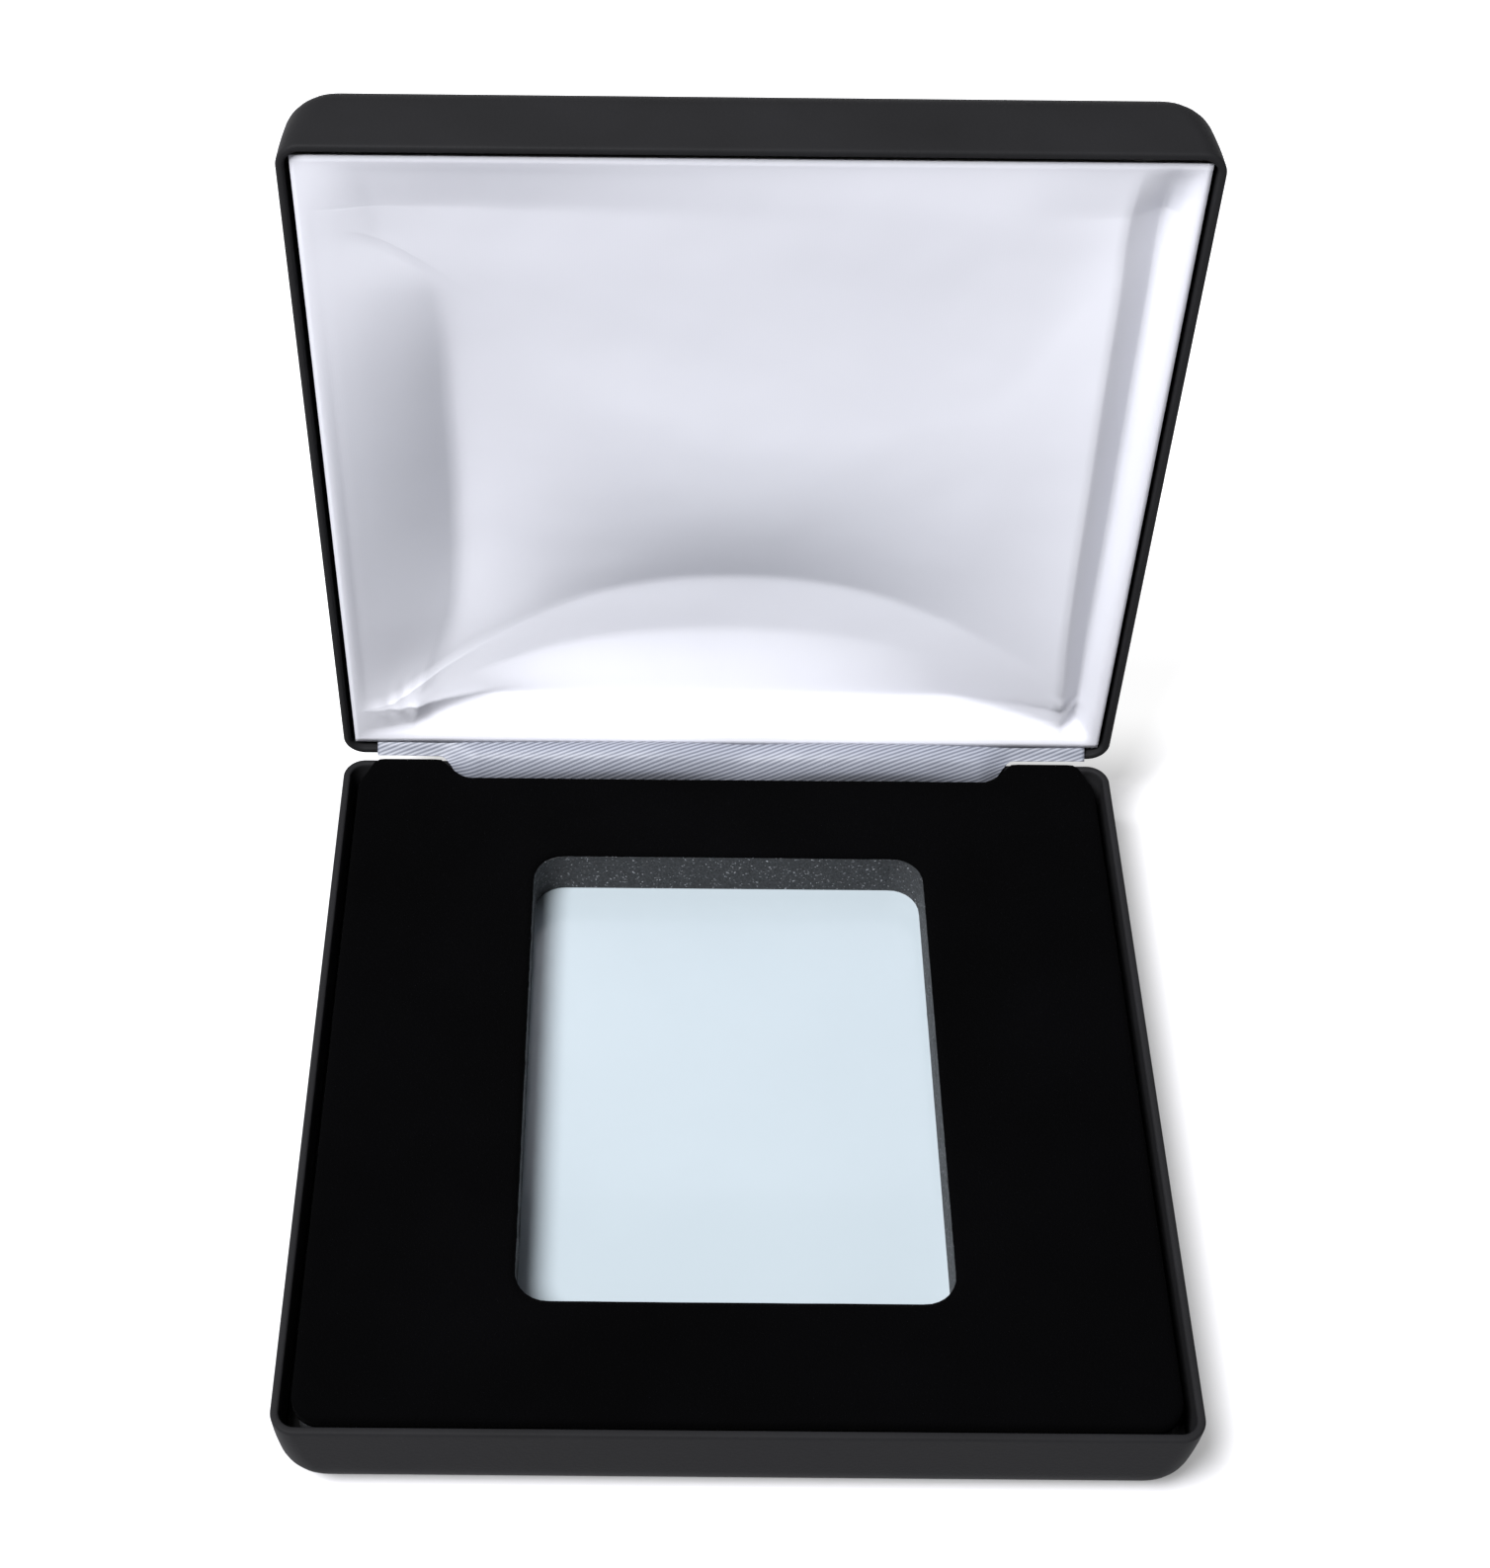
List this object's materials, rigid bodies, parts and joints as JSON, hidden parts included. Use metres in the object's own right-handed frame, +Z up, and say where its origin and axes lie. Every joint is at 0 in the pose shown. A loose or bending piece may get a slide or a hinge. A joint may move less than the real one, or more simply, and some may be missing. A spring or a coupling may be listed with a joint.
{
  "type": "coin display case",
  "caption": "Hinged presentation case: leatherette-covered steel trays, padded white satin lid, black velvet insert with a rectangular cut-out.",
  "frame": {"origin": "the middle of the base's underside", "axes": "+Z up out of the open base, +Y towards the hinge, +X to the right seen from the front"},
  "size_m": [0.108, 0.1181, 0.1181],
  "materials": {
    "pressed_steel": "cold-rolled sheet, plain",
    "black_leatherette": "fine-grained coated leatherette, satin",
    "hinge_steel": "bright zinc plated",
    "spring_steel": "blued spring strip",
    "riser_foam": "expanded foam",
    "white_card": "glossy coated",
    "black_foam": "cut open-cell foam",
    "black_velvet": "flocked velvet",
    "liner_card": "uncoated",
    "wadding": "polyester wadding",
    "white_satin": "satin weave, glossy"
  },
  "bodies": {
    "base": {"base_shell": "pressed_steel", "base_covering": "black_leatherette", "base_hinge_leaf": "hinge_steel", "hinge_pin": "hinge_steel", "snap_spring": "spring_steel", "spring_rivets": "hinge_steel", "riser_block": "riser_foam", "floor_card": "white_card", "insert_foam": "black_foam", "insert_velvet": "black_velvet", "hinge_cloth": "white_satin"},
    "lid": {"lid_shell": "pressed_steel", "lid_covering": "black_leatherette", "lid_hinge_leaf": "hinge_steel", "lid_liner_card": "liner_card", "lid_pad": "wadding", "lid_satin": "white_satin"}
  },
  "joints": [
    {"name": "lid_hinge", "type": "hinge", "parent": "base", "child": "lid", "pos_m": [0, 0.05175, 0.0148], "axis": [1, 0, 0], "range_deg": [0, 90]}
  ]
}
